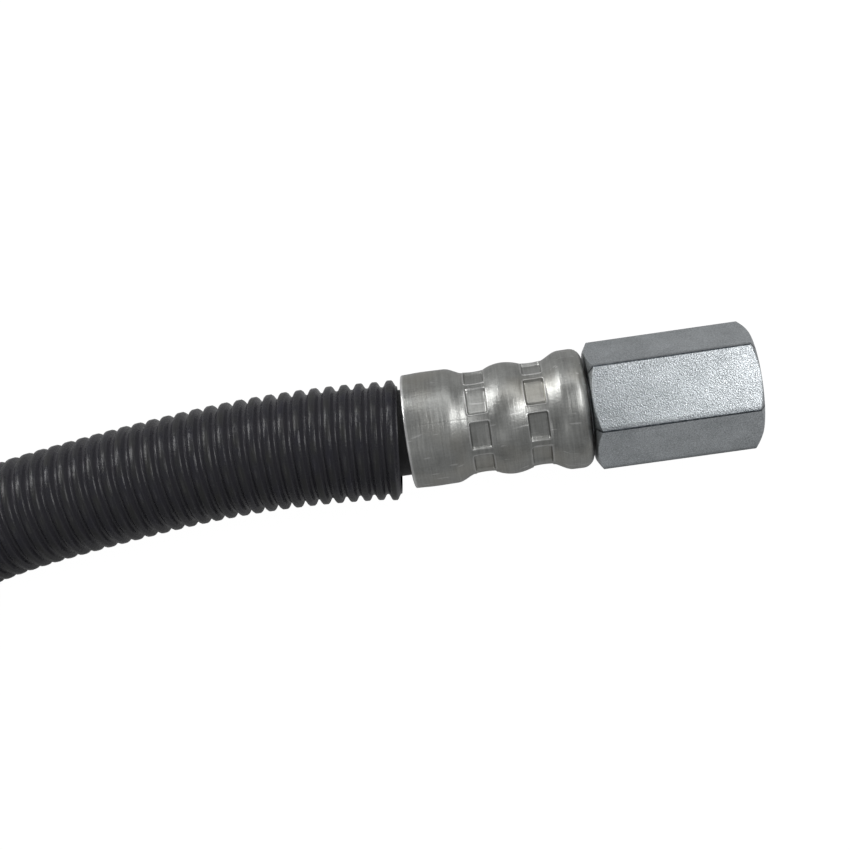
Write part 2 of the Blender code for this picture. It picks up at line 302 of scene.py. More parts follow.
class NodeBench:
    """Places and joins the nodes of one shader tree."""

    def __init__(self, tree: bpy.types.NodeTree) -> None:
        """Start on a tree, with whatever nodes it holds."""
        self.tree = tree

    def add(self, kind: str, inputs: dict[str | int, Any] | None = None, **settings: Any) -> bpy.types.Node:
        """Add a node.

        Args:
            kind: Blender's name of the node type.
            inputs: Values or sockets for its inputs, by name or number.
            settings: Properties of the node itself.

        Returns:
            The new node.
        """
        node = self.tree.nodes.new(kind)
        for key, value in settings.items():
            setattr(node, key, value)
        for key, value in (inputs or {}).items():
            if isinstance(value, bpy.types.NodeSocket):
                self.tree.links.new(value, node.inputs[key])
            else:
                node.inputs[key].default_value = value
        return node

    def join(self, source: Socket, target: Socket) -> None:
        """Link an output to an input."""
        self.tree.links.new(source, target)

    def math(self, operation: str, *values: Any) -> Socket:
        """Join values or sockets with one Math node and give its output."""
        return self.add("ShaderNodeMath", dict(enumerate(values)), operation=operation).outputs[0]

    def vector(self, operation: str, *values: Any) -> Socket:
        """Join vectors with one Vector Math node and give its output."""
        return self.add("ShaderNodeVectorMath", dict(enumerate(values)), operation=operation).outputs[0]

    def weigh(self, values: Iterable[Socket], weights: Iterable[float]) -> Socket:
        """Sum up values, each times its own weight."""
        total: Any = 0.0
        for value, weight in zip(values, weights):
            total = self.math("MULTIPLY_ADD", value, weight, total)
        return total

    def place(self) -> Socket:
        """The place on the piece, in metres from its own origin."""
        return self.add("ShaderNodeTexCoord").outputs["Object"]

    def mark(self, name: str) -> Socket:
        """A value that the mesh holds for each of its points."""
        return self.add("ShaderNodeAttribute", attribute_name=name).outputs["Fac"]

    def noise(self, vector: Any, scale: Any, detail: float = 2.0, roughness: float = 0.5) -> Socket:
        """Noise from 0 to 1 at a number of lumps to the metre."""
        inputs = {"Vector": vector, "Scale": scale, "Detail": detail, "Roughness": roughness}
        return self.add("ShaderNodeTexNoise", inputs).outputs[0]

    def remap(self, value: Any, low: float, high: float, to_low: float = 0.0,
              to_high: float = 1.0) -> Socket:
        """Stretch a range of values to another, and stop at its ends."""
        inputs = {0: value, 1: low, 2: high, 3: to_low, 4: to_high}
        return self.add("ShaderNodeMapRange", inputs).outputs[0]

    def blend(self, share: Any, first: Any, second: Any) -> Socket:
        """Mix two colours by a share from 0 to 1."""
        inputs = {0: share, 6: first, 7: second}
        return self.add("ShaderNodeMix", inputs, data_type="RGBA").outputs[2]

    def bump(self, strength: float, depth: float, height: Socket) -> Socket:
        """A normal that leans with a height."""
        inputs = {"Strength": strength, "Distance": depth, "Height": height}
        return self.add("ShaderNodeBump", inputs).outputs[0]

    def effect(self, group: bpy.types.NodeTree, **inputs: float) -> Any:
        """Add a shared group and give its outputs."""
        return self.add("ShaderNodeGroup", inputs, node_tree=group).outputs


def new_group(name: str, inputs: dict[str, float], outputs: Sequence[str]) -> tuple[NodeBench, Any, Any]:
    """Start a shader node group that takes and gives plain numbers.

    Args:
        name: Name of the group.
        inputs: First value of each input, by name.
        outputs: Names of the outputs.

    Returns:
        A bench on the group, the sockets that it is given and the sockets that it fills.
    """
    group = bpy.data.node_groups.new(name, "ShaderNodeTree")
    for key, value in inputs.items():
        socket = group.interface.new_socket(name=key, in_out="INPUT", socket_type="NodeSocketFloat")
        socket.default_value = value
    for key in outputs:
        group.interface.new_socket(name=key, in_out="OUTPUT", socket_type="NodeSocketFloat")
    bench = NodeBench(group)
    return bench, bench.add("NodeGroupInput").outputs, bench.add("NodeGroupOutput").inputs


class Effects:
    """The node groups that more than one finish uses."""

    # Turns the noise away from the axes, so that its lattice doesn't line up with a flat.
    GRAIN_TURN = (0.5, 0.7, 0.3)
    def __init__(self) -> None:
        """Build each group once."""
        self.grain = self._grain()
        self.streaks = self._streaks()
        self.edge_band = self._edge_band()

    def _grain(self) -> bpy.types.NodeTree:
        """Fine lumps, and broad clouds that vary a surface from place to place."""
        bench, given, made = new_group("surface_grain", {"Fine": 3000.0, "Broad": 120.0}, ("Grain", "Clouds"))
        inputs = {"Vector": bench.place(), "Rotation": self.GRAIN_TURN}
        turned = bench.add("ShaderNodeVectorRotate", inputs, rotation_type="EULER_XYZ").outputs[0]
        fine = bench.noise(turned, given["Fine"], 3.0, 0.6)
        broad = bench.noise(turned, given["Broad"], 4.0, 0.55)
        bench.join(bench.remap(fine, 0.3, 0.7), made["Grain"])
        bench.join(bench.remap(broad, 0.35, 0.65), made["Clouds"])
        return bench.tree

    def _streaks(self) -> bpy.types.NodeTree:
        """Fine lines round the axis of an end, from turning, and along it, from drawing, and scratches."""
        bench, given, made = new_group("machining_lines", {"Lines": 2500.0}, ("Round", "Along", "Scratches"))
        place = bench.place()
        for name, squash in (("Round", (1.0, 0.04, 0.04)), ("Along", (0.04, 1.0, 1.0))):
            lines = bench.noise(bench.vector("MULTIPLY", place, squash), given["Lines"], 2.0, 0.6)
            bench.join(bench.remap(lines, 0.32, 0.68), made[name])
        inputs = {"Vector": place, "Scale": 90.0, "Detail": 0.0}
        swirl = bench.add("ShaderNodeTexNoise", inputs).outputs["Color"]
        bent = bench.vector("MULTIPLY_ADD", swirl, (0.004, 0.004, 0.004), place)
        score = bench.noise(bench.vector("MULTIPLY", bent, (0.12, 1.0, 1.0)), 1100.0, 1.0)
        bench.join(bench.remap(score, 0.70, 0.745), made["Scratches"])
        return bench.tree

    def _edge_band(self) -> bpy.types.NodeTree:
        """A broken band along the edges that the mesh marks."""
        bench, given, made = new_group("edge_band", {"Breaks": 1500.0}, ("Mask",))
        # The zinc finish paints this band near black along the hexagon's corners, as painted shade; the steel
        # finish paints it lighter along its rim and round the jaw marks.
        breaks = bench.remap(bench.noise(bench.place(), given["Breaks"]), 0.25, 0.6, 0.75, 1.0)
        bench.join(bench.math("MULTIPLY", bench.mark("edge"), breaks), made["Mask"])
        return bench.tree


@dataclass(frozen=True)
class Finish:
    """What every finish shares: how its material is made."""

    NAME: ClassVar[str] = ""

    def material(self, effects: Effects) -> bpy.types.Material:
        """Make the material.

        Args:
            effects: The shared node groups.

        Returns:
            The material.
        """
        material = bpy.data.materials.new(self.NAME)
        material.use_nodes = True
        bench = NodeBench(material.node_tree)
        self.dress(bench, material.node_tree.nodes["Principled BSDF"].inputs, effects)
        return material

    def dress(self, bench: NodeBench, shader: Any, effects: Effects) -> None:
        """Lead the finish into the shader.

        Args:
            bench: A bench on the material's tree.
            shader: The inputs of its Principled BSDF.
            effects: The shared node groups.
        """
        raise NotImplementedError


@dataclass(frozen=True)
class ZincFinish(Finish):
    """Bright zinc plate with a fine granular sparkle, and painted shade: near black along the rounded corners
    of its hexagon.
    """

    NAME: ClassVar[str] = "zinc_plate_finish"
    light: Colour = (0.70, 0.735, 0.76, 1.0)
    dark: Colour = (0.255, 0.275, 0.29, 1.0)
    # Near black, painted along the hexagon's rounded corners as shade.
    edge: Colour = (0.06, 0.07, 0.08, 1.0)
    fine_scale: float = 3700.0
    broad_scale: float = 160.0
    shares: Span = (0.25, 0.75)
    heights: Span = (1.0, 0.2)
    roughness: Span = (0.32, 0.28)
    bump: Span = (1.0, 0.000045)

    def dress(self, bench: NodeBench, shader: Any, effects: Effects) -> None:
        """Lead the finish into the shader."""
        grain = bench.effect(effects.grain, Fine=self.fine_scale, Broad=self.broad_scale)
        lines = bench.effect(effects.streaks)
        edge_mask = bench.effect(effects.edge_band)
        share = bench.weigh((grain["Clouds"], grain["Grain"]), self.shares)
        plate = bench.blend(share, self.dark, self.light)
        # Painted shade: the corners that the mesh marks turn near black.
        bench.join(bench.blend(edge_mask["Mask"], plate, self.edge), shader["Base Color"])
        bench.join(bench.remap(grain["Grain"], 0.0, 1.0, *self.roughness), shader["Roughness"])
        shader["Metallic"].default_value = 1.0
        height = bench.weigh((grain["Grain"], lines["Along"]), self.heights)
        bench.join(bench.bump(*self.bump, height), shader["Normal"])


@dataclass(frozen=True)
class SteelFinish(Finish):
    """Dull warm grey steel, with drawing and turning lines, faint stains and a few scratches."""

    NAME: ClassVar[str] = "ferrule_steel_finish"
    light: Colour = (0.49, 0.495, 0.48, 1.0)
    dark: Colour = (0.24, 0.242, 0.232, 1.0)
    stain: Colour = (0.37, 0.35, 0.30, 1.0)
    edge: Colour = (0.75, 0.75, 0.74, 1.0)
    fine_scale: float = 2600.0
    broad_scale: float = 190.0
    shares: tuple[float, ...] = (0.12, 0.34, 0.30, 0.24)
    heights: tuple[float, ...] = (1.0, 0.4, -0.8, 0.8)
    stain_scale: float = 90.0
    stain_levels: Span = (0.52, 0.72)
    stain_share: float = 0.45
    scratch_share: float = 0.45
    roughness: Span = (0.33, 0.44)
    bump: Span = (0.5, 0.00003)

    def dress(self, bench: NodeBench, shader: Any, effects: Effects) -> None:
        """Lead the finish into the shader."""
        grain = bench.effect(effects.grain, Fine=self.fine_scale, Broad=self.broad_scale)
        lines = bench.effect(effects.streaks)
        edge_mask = bench.effect(effects.edge_band)
        parts = (lines["Along"], lines["Round"], grain["Clouds"], grain["Grain"])
        share = bench.weigh(parts, self.shares)
        metal = bench.blend(share, self.dark, self.light)
        patches = bench.noise(bench.place(), self.stain_scale)
        stains = bench.remap(patches, *self.stain_levels, 0.0, self.stain_share)
        stained = bench.blend(stains, metal, self.stain)
        scratches = bench.math("MULTIPLY", lines["Scratches"], self.scratch_share)
        scratched = bench.blend(scratches, stained, self.edge)
        # Lighter along the rim and round each jaw mark, where the mesh marks its edges.
        bench.join(bench.blend(edge_mask["Mask"], scratched, self.edge), shader["Base Color"])
        bench.join(bench.remap(grain["Clouds"], 0.0, 1.0, *self.roughness), shader["Roughness"])
        shader["Metallic"].default_value = 1.0
        reliefs = (lines["Round"], lines["Along"], lines["Scratches"], grain["Grain"])
        height = bench.weigh(reliefs, self.heights)
        bench.join(bench.bump(*self.bump, height), shader["Normal"])


@dataclass(frozen=True)
class RubberFinish(Finish):
    """Plain black rubber cover with a dull bloom."""

    NAME: ClassVar[str] = "hose_rubber_finish"
    fresh: Colour = (0.007, 0.007, 0.008, 1.0)
    bloomed: Colour = (0.014, 0.014, 0.0155, 1.0)
    fine_scale: float = 2200.0
    roughness: float = 0.55
    bump: Span = (0.4, 0.00004)

    def dress(self, bench: NodeBench, shader: Any, effects: Effects) -> None:
        """Lead the finish into the shader."""
        grain = bench.effect(effects.grain, Fine=self.fine_scale)
        bench.join(bench.blend(grain["Clouds"], self.fresh, self.bloomed), shader["Base Color"])
        shader["Roughness"].default_value = self.roughness
        bench.join(bench.bump(*self.bump, grain["Grain"]), shader["Normal"])


@dataclass(frozen=True)
class PlasticFinish(Finish):
    """Black moulded plastic with a soft gloss and mould lines round it; its grooves are painted lighter than
    its crests, partly as a little dust and partly as painted shade on the crests.
    """

    NAME: ClassVar[str] = "sleeve_plastic_finish"
    cool: Colour = (0.018, 0.0175, 0.024, 1.0)
    warm: Colour = (0.021, 0.021, 0.021, 1.0)
    # Grooves and flanks: partly a little dust, partly painted light, so that the crests look darker, as in
    # shade.
    dust_and_painted_light: Colour = (0.037, 0.036, 0.042, 1.0)
    fine_scale: float = 1400.0
    broad_scale: float = 220.0
    line_scale: float = 1700.0
    line_drift: float = 0.05
    line_levels: Span = (0.3, 0.7)
    heights: Span = (1.0, 2.0)
    specular: float = 0.32
    roughness: Span = (0.22, 0.34)
    bump: Span = (0.6, 0.00005)

    def dress(self, bench: NodeBench, shader: Any, effects: Effects) -> None:
        """Lead the finish into the shader."""
        grain = bench.effect(effects.grain, Fine=self.fine_scale, Broad=self.broad_scale)
        plastic = bench.blend(grain["Clouds"], self.cool, self.warm)
        # The crests keep the plain colour and the grooves take the lighter one: painted shade on the crests,
        # with a little dust in the grooves.
        bench.join(bench.blend(bench.mark("edge"), self.dust_and_painted_light, plastic), shader["Base Color"])
        bench.join(bench.remap(grain["Clouds"], 0.0, 1.0, *self.roughness), shader["Roughness"])
        shader["Specular IOR Level"].default_value = self.specular
        slow = bench.vector("MULTIPLY", bench.place(), (self.line_drift,) * 3)
        ahead = bench.add("ShaderNodeCombineXYZ", {0: bench.mark("travel")}).outputs[0]
        lines = bench.noise(bench.vector("ADD", slow, ahead), self.line_scale)
        ridges = bench.remap(lines, *self.line_levels)
        height = bench.weigh((grain["Grain"], ridges), self.heights)
        bench.join(bench.bump(*self.bump, height), shader["Normal"])


@dataclass
class Coupling:
    """A hexagonal coupling with its threaded port and barbed stem."""

    across_flats: float = 0.0222
    roll: float = math.radians(5.5)
    corner_round: float = 0.00045
    chamfer_angle: float = math.radians(30.0)
    chamfer_inset: float = 0.0003
    edge_round: float = 0.00012
    port_radius: float = 0.0072
    thread_depth: float = 0.0008
    thread_pitch: float = 0.0015
    thread_rows: int = 8
    thread_sharpness: float = 1.15
    thread_fade: Span = (1.0, 2.5)
    port_depth: float = 0.0170
    seat_depth: float = 0.0023
    lead_in: float = 0.0010
    passage_radius: float = 0.0032
    collar_height: float = 0.0010
    barb_count: int = 4
    barb_pitch: float = 0.0045
    barb_back: float = 0.0005
    stem_length: float = 0.0245
    tip_chamfer: float = 0.0006
    flat_points: int = 12
    corner_points: int = 5
    corner_start_mark: float = 0.6
    edge_reach: float = 0.0004
    ease_share: float = 0.45
    curve_steps: tuple[float, ...] = (0.0, 0.33, 0.67, 1.0)

    def section(self) -> list[Point]:
        """Points round the hexagon as (angle, radius, edge), where edge is 1 on a rounded corner."""
        apothem = self.across_flats / 2
        half_flat = apothem * math.tan(math.pi / 6) - self.corner_round * math.tan(math.pi / 6)
        centre = (apothem - self.corner_round) / math.cos(math.pi / 6)
        points = []
        for flat in range(6):
            middle = math.tau * flat / 6 + math.pi / 2 - self.roll
            for step in range(self.flat_points):
                across = -half_flat + 2 * half_flat * step / self.flat_points
                points.append((middle + math.atan2(across, apothem), math.hypot(across, apothem), 0.0))
            for step in range(self.corner_points):
                turn = -math.pi / 6 + math.pi / 3 * step / self.corner_points
                x = centre + self.corner_round * math.cos(turn)
                y = self.corner_round * math.sin(turn)
                edge = 1.0 if step else self.corner_start_mark
                points.append((middle + math.pi / 6 + math.atan2(y, x), math.hypot(x, y), edge))
        return points

    def hex_end(self, radius: float, face_x: float, inward: float) -> list[Row]:
        """Rows over one chamfered end at one angle, from the end face to the flat.

        Args:
            radius: Radius of the hexagon at this angle.
            face_x: Place of the end face.
            inward: 1 if the hexagon lies on the +X side of the face, -1 if not.

        Returns:
            Rows of (x, radius), with both edges of the chamfer rounded.
        """
        circle = self.across_flats / 2 - self.chamfer_inset
        bow = (radius - circle) * math.tan(self.chamfer_angle)
        slope = math.hypot(bow, radius - circle)
        ease = min(self.edge_round, slope * self.ease_share)
        along = (bow / slope, (radius - circle) / slope)
        path = [
            ((0.0, circle - ease), (0.0, circle), (along[0] * ease, circle + along[1] * ease)),
            ((bow - along[0] * ease, radius - along[1] * ease), (bow, radius), (bow + ease, radius)),
        ]
        rows = []
        for first, corner, last in path:
            for t in self.curve_steps:
                x, r = ((1 - t)**2 * a + 2 * t * (1 - t) * b + t * t * c
                        for a, b, c in zip(first, corner, last))
                rows.append((face_x + inward * x, r))
        return rows

    def thread_radius(self, x: float, angle: float, front: float) -> float:
        """Radius of the threaded port at a depth and an angle."""
        turn = (x / self.thread_pitch - angle / math.tau) % 1.0
        cut = self.thread_depth * max(0.0, 1.0 - abs(2 * turn - 1) * self.thread_sharpness)
        bottom = front - self.port_depth
        fade_from, fade_to = (bottom + turns * self.thread_pitch for turns in self.thread_fade)
        fade = soft_step(x, fade_from, fade_to)
        opened = self.port_radius + self.lead_in - (front - x)
        return max(self.port_radius + cut * fade, opened)

    def outline(self, angle: float, radius: float) -> list[Row]:
        """All rows at one angle, out along the outside and back through the port and the passage."""
        front = SIZES.hex_x + SIZES.hex_length
        tip = SIZES.collar_x - self.stem_length
        collar_end = SIZES.collar_x + SIZES.collar_length
        collar = SIZES.neck_radius + self.collar_height
        rows = [(tip, SIZES.stem_radius - self.tip_chamfer / 2), (tip + self.tip_chamfer, SIZES.stem_radius)]
        first_barb = SIZES.collar_x - self.barb_back - self.barb_count * self.barb_pitch
        for barb in range(self.barb_count):
            start = first_barb + barb * self.barb_pitch
            crest = start + self.barb_pitch - self.barb_back
            rows += [(start, SIZES.stem_radius), (crest, SIZES.barb_radius)]
        rows += [
            (SIZES.collar_x, SIZES.stem_radius),
            (SIZES.collar_x, collar),
            (collar_end, collar),
            (collar_end, SIZES.neck_radius),
            (SIZES.hex_x, SIZES.neck_radius),
        ]
        rows += self.hex_end(radius, SIZES.hex_x, 1)
        rows += self.hex_end(radius, front, -1)[::-1]
        rows.append((front, self.port_radius + self.lead_in))
        bottom = front - self.port_depth
        for x in spread(bottom, front, self.thread_pitch / self.thread_rows)[-2::-1]:
            rows.append((x, self.thread_radius(x, angle, front)))
        rows += [(bottom - self.seat_depth, self.passage_radius), (tip, self.passage_radius)]
        return rows

    def mesh(self) -> bpy.types.Mesh:
        """Build the whole coupling as one closed mesh."""
        section = self.section()
        columns = [self.outline(angle, radius) for angle, radius, _ in section]
        rings = []
        marks = []
        hex_rows = (SIZES.hex_x, SIZES.hex_x + SIZES.hex_length)
        for index in range(len(columns[0])):
            ring = []
            mark = []
            for (angle, radius, edge), column in zip(section, columns):
                x, r = column[index]
                ring.append((x, r * math.cos(angle), r * math.sin(angle)))
                # The edge mark runs along the hexagon's rounded corners, which the zinc finish paints near
                # black as shade.
                on_hex = hex_rows[0] <= x <= hex_rows[1] and r > self.across_flats / 2 - self.edge_reach
                mark.append(edge if on_hex else 0.0)
            rings.append(ring)
            marks.append(mark)
        return shell_mesh("coupling", rings, {"edge": marks})


@dataclass
class Ferrule:
    """A steel shell that nine jaws have pressed in two rows."""

    barrel_radius: float = 0.0115
    waist_radius: float = 0.01115
    bulge_radius: float = 0.0119
    valley_radii: Span = (0.0100, 0.0102)
    valley_edge: float = 0.00012
    pad_apothem: float = 0.0093
    pad_half_width: float = 0.0026
    pad_corner: float = 0.0004
    pad_edge: float = 0.00024
    pad_lip: float = 0.00008
    lip_mark: float = 0.5
    pad_hollow: float = 0.00006
    seam_depth: float = 0.00003
    seam_half_width: float = 0.00012
    seam_start: Span = (0.0015, 0.0035)
    jaw_count: int = 9
    jaw_roll: float = math.radians(4.3)
    second_roll: float = math.radians(1.3)
    crimp_length: float = 0.0039
    crimp_to_nose: float = 0.0082
    crimp_spacing: float = 0.0114
    rim_dip: float = 0.00012
    rim_run: float = 0.004
    groove_dip: float = 0.00008
    groove_run: float = 0.010
    barrel_ease: float = 0.0040
    barrel_fullness: float = 1.2
    bulge_ease: float = 0.0038
    bulge_fullness: float = 0.75
    bulge_dip: float = 0.00008
    bulge_dip_run: float = 0.006
    waist_fullness: float = 0.75
    rim_round: float = 0.0003
    nose_round: float = 0.0024
    row_step: float = 0.0004
    edge_room: float = 0.00045
    inner_step: float = 0.0015
    rim_steps: int = 3
    nose_steps: int = 8
    edge_rows: tuple[float, ...] = (
        -0.0004, -0.0002, -0.0001, 0.0, 0.00006, 0.00012, 0.00018, 0.00024, 0.0004)
    jaw_columns: tuple[float, ...] = (
        0.0, 4.0, 8.0, 11.5, 14.0, 15.2, 15.8, 16.2, 16.6, 17.0, 17.6, 18.4, 19.2, 20.0)

    def crimps(self) -> tuple[float, float]:
        """Where the two rows of jaw marks start."""
        second = SIZES.ferrule_length - self.crimp_to_nose - self.crimp_length
        return second - self.crimp_spacing, second

    def nose_radius(self, x: float) -> float:
        """Radius past the second groove: the bulge and its rounded nose."""
        start = self.crimps()[1] + self.crimp_length
        turn = max(0.0, (x - SIZES.ferrule_length + self.nose_round) / self.nose_round)
        round_off = self.nose_round * (1 - math.sqrt(max(0.0, 1 - turn * turn)))
        dip = self.bulge_dip * max(0.0, 1 - (x - start) / self.bulge_dip_run)
        return self.bulge_radius - round_off - dip

    def profile(self, x: float) -> float:
        """Radius without the pads: barrel, valley, waist, valley and bulge."""
        first, second = self.crimps()
        first_end, second_end = first + self.crimp_length, second + self.crimp_length
        low_first, low_second = self.valley_radii
        if x <= first:
            edge = low_first + self.valley_edge
            share = soft_step(x, first - self.barrel_ease, first) ** self.barrel_fullness
            return self.barrel(x) + (edge - self.barrel(x)) * share
        if x >= second_end:
            edge = low_second + self.valley_edge
            share = soft_step(x, second_end, second_end + self.bulge_ease) ** self.bulge_fullness
            return edge + (self.nose_radius(x) - edge) * share
        if first_end < x < second:
            share = (x - first_end) / (second - first_end)
            edge = low_first + (low_second - low_first) * share + self.valley_edge
            return edge + (self.waist_radius - edge) * math.sin(math.pi * share) ** self.waist_fullness
        low, start = (low_first, first) if x <= first_end else (low_second, second)
        return low + self.valley_edge * (2 * (x - start) / self.crimp_length - 1) ** 2

    def barrel(self, x: float) -> float:
        """Radius of the barrel, which draws in a little at its rim and towards the first groove."""
        at_rim = self.rim_dip * (1 - soft_step(x, 0.0, self.rim_run))
        return self.barrel_radius - at_rim - self.groove_dip * soft_step(x, self.rim_run, self.groove_run)

    def pad_depth(self, x: float, angle: float) -> tuple[float, float]:
        """How far inside a jaw mark a place is, and its angle from the middle of that mark."""
        row = 0 if x < sum(self.crimps()) / 2 + self.crimp_length / 2 else 1
        start = self.crimps()[row]
        ridge_angle = math.pi / 2 - self.jaw_roll - row * self.second_roll
        jaw = math.tau / self.jaw_count
        off_pad = (angle - ridge_angle) % jaw - jaw / 2
        along = min(x - start, start + self.crimp_length - x)
        across = self.pad_half_width - abs(self.pad_apothem * math.tan(off_pad))
        depth = min(along, across)
        if max(along, across) < self.pad_corner:
            depth = self.pad_corner - math.hypot(self.pad_corner - along, self.pad_corner - across)
        return depth, off_pad

    def lip_at(self, x: float, angle: float) -> float:
        """Share, from 0 to 1, of the lip that the jaws squeeze up round a mark."""
        depth, _ = self.pad_depth(x, angle)
        return math.exp(-((depth + self.pad_edge / 2) / (self.pad_edge / 2)) ** 2)

    def seam_at(self, x: float, angle: float) -> float:
        """Depth of the line that the die leaves along the barrel, in line with one ridge."""
        off = (angle - math.pi / 2 + self.jaw_roll) * self.barrel_radius
        if x > self.crimps()[0] or abs(off) > self.seam_half_width:
            return 0.0
        return self.seam_depth * soft_step(x, *self.seam_start)

    def radius_at(self, x: float, angle: float) -> float:
        """Outer radius at one place, with the flat pads that the jaws cut into the valleys."""
        radius = self.profile(x) - self.seam_at(x, angle)
        depth, off_pad = self.pad_depth(x, angle)
        rise = 1 - min(1.0, max(0.0, depth) / (self.crimp_length / 2))
        hollow = self.pad_apothem + self.pad_hollow * rise * rise
        pad = min(radius, hollow / math.cos(off_pad))
        pressed = radius + (pad - radius) * soft_step(depth, 0.0, self.pad_edge)
        return pressed + self.pad_lip * self.lip_at(x, angle)

    def places(self) -> list[float]:
        """Places of the rings, close together at the edges of the jaw marks."""
        places = spread(self.rim_round, SIZES.ferrule_length - self.nose_round, self.row_step)[1:]
        for start in self.crimps():
            edges = [(start, 1), (start + self.crimp_length, -1)]
            places = [x for x in places if all(abs(x - edge) > self.edge_room for edge, _ in edges)]
            places += [edge + inward * row for edge, inward in edges for row in self.edge_rows]
        return sorted(places)

    def turns(self) -> list[float]:
        """Angles of the points round a ring, close together at the sides of the jaw marks."""
        jaw = math.tau / self.jaw_count
        middle = math.pi / 2 - self.jaw_roll - self.second_roll / 2 + jaw / 2
        side = [math.radians(column) for column in self.jaw_columns]
        offsets = [-angle for angle in side[:0:-1]] + side[:-1]
        return [middle + jaw * index + offset for index in range(self.jaw_count) for offset in offsets]

    def mesh(self) -> bpy.types.Mesh:
        """Build the shell, out along its outside and back along its inside."""
        turns = self.turns()
        lip = SIZES.neck_radius + SIZES.touch_gap
        rings: list[Ring] = []
        marks: list[list[float]] = []

        def keep(x: float, reach: Callable[[float], float],
                 edge: Callable[[float], float] = lambda a: 0.0) -> None:
            """Add a ring at x, with its radius and its edge mark at each angle."""
            rings.append([(x, reach(a) * math.cos(a), reach(a) * math.sin(a)) for a in turns])
            marks.append([edge(a) for a in turns])

        for step in range(self.rim_steps + 1):
            turn = math.pi / 2 * step / self.rim_steps
            x = self.rim_round * (1 - math.cos(turn))
            keep(x, lambda a, t=turn: self.barrel(0.0) - self.rim_round * (1 - math.sin(t)), lambda a: 1.0)
        for x in self.places():
            keep(x, lambda a, x=x: self.radius_at(x, a), lambda a, x=x: self.lip_mark * self.lip_at(x, a))
        for step in range(1, self.nose_steps + 1):
            x = SIZES.ferrule_length - self.nose_round * (1 - math.sin(math.pi / 2 * step / self.nose_steps))
            keep(x, lambda a, x=x: self.nose_radius(x))
        keep(SIZES.ferrule_length, lambda a: lip)
        keep(SIZES.lip_x, lambda a: lip)
        for x in spread(0.0, SIZES.lip_x, self.inner_step)[::-1]:
            keep(x, lambda a, x=x: self.radius_at(max(x, self.rim_round), a) - SIZES.ferrule_wall)
        return shell_mesh("ferrule", rings, {"edge": marks}, sharp=60.0)


@dataclass
class Hose:
    """The rubber hose, squeezed in both ferrules."""

    line: SmoothLine
    sides: int = 48
    step: float = 0.004
    fine_step: float = 0.0006
    bore_ease: Span = (0.0027, 0.0054)
    ferrule: Ferrule = field(default_factory=Ferrule)

    def radius_inside(self, depth: float) -> float:
        """Outer radius at a depth inside a ferrule."""
        pad = math.pi / 2 - self.ferrule.jaw_roll + math.pi / self.ferrule.jaw_count
        shell = min(self.ferrule.radius_at(depth, pad), self.ferrule.nose_radius(depth))
        return min(SIZES.radius, shell - SIZES.ferrule_wall - SIZES.touch_gap)

    def centreline(self) -> list[Point]:
        """Points along the middle of the whole hose."""
        start = -SIZES.hose_end_x + self.fine_step
        end = self.line.length + SIZES.hose_end_x
        return [(*self.line.point(d), SIZES.axis_height) for d in spread(start, end, self.step)]

    def mesh(self) -> bpy.types.Mesh:
        """Build the hose with its bore, which opens over the stems."""
        far = self.line.length
        along = spread(0.0, far, self.step)
        depths = spread(0.0, SIZES.hose_end_x, self.fine_step)[1:]
        outside = [(-depth, self.radius_inside(depth)) for depth in depths[::-1]]
        outside += [(d, SIZES.radius) for d in along]
        outside += [(far + depth, self.radius_inside(depth)) for depth in depths]
        over_stem = SIZES.barb_radius + SIZES.touch_gap
        end = SIZES.hose_end_x
        narrow, wide = self.bore_ease
        bore = [(-end, over_stem), (-wide, over_stem), (-narrow, SIZES.bore_radius)]
        bore += [(d, SIZES.bore_radius) for d in along]
        bore += [(far + narrow, SIZES.bore_radius), (far + wide, over_stem), (far + end, over_stem)]
        rings = [level_ring(self.line.point(d), self.line.sideways(d), SIZES.axis_height, radius, self.sides)
                 for d, radius in outside + bore[::-1]]
        return shell_mesh("hose", rings)


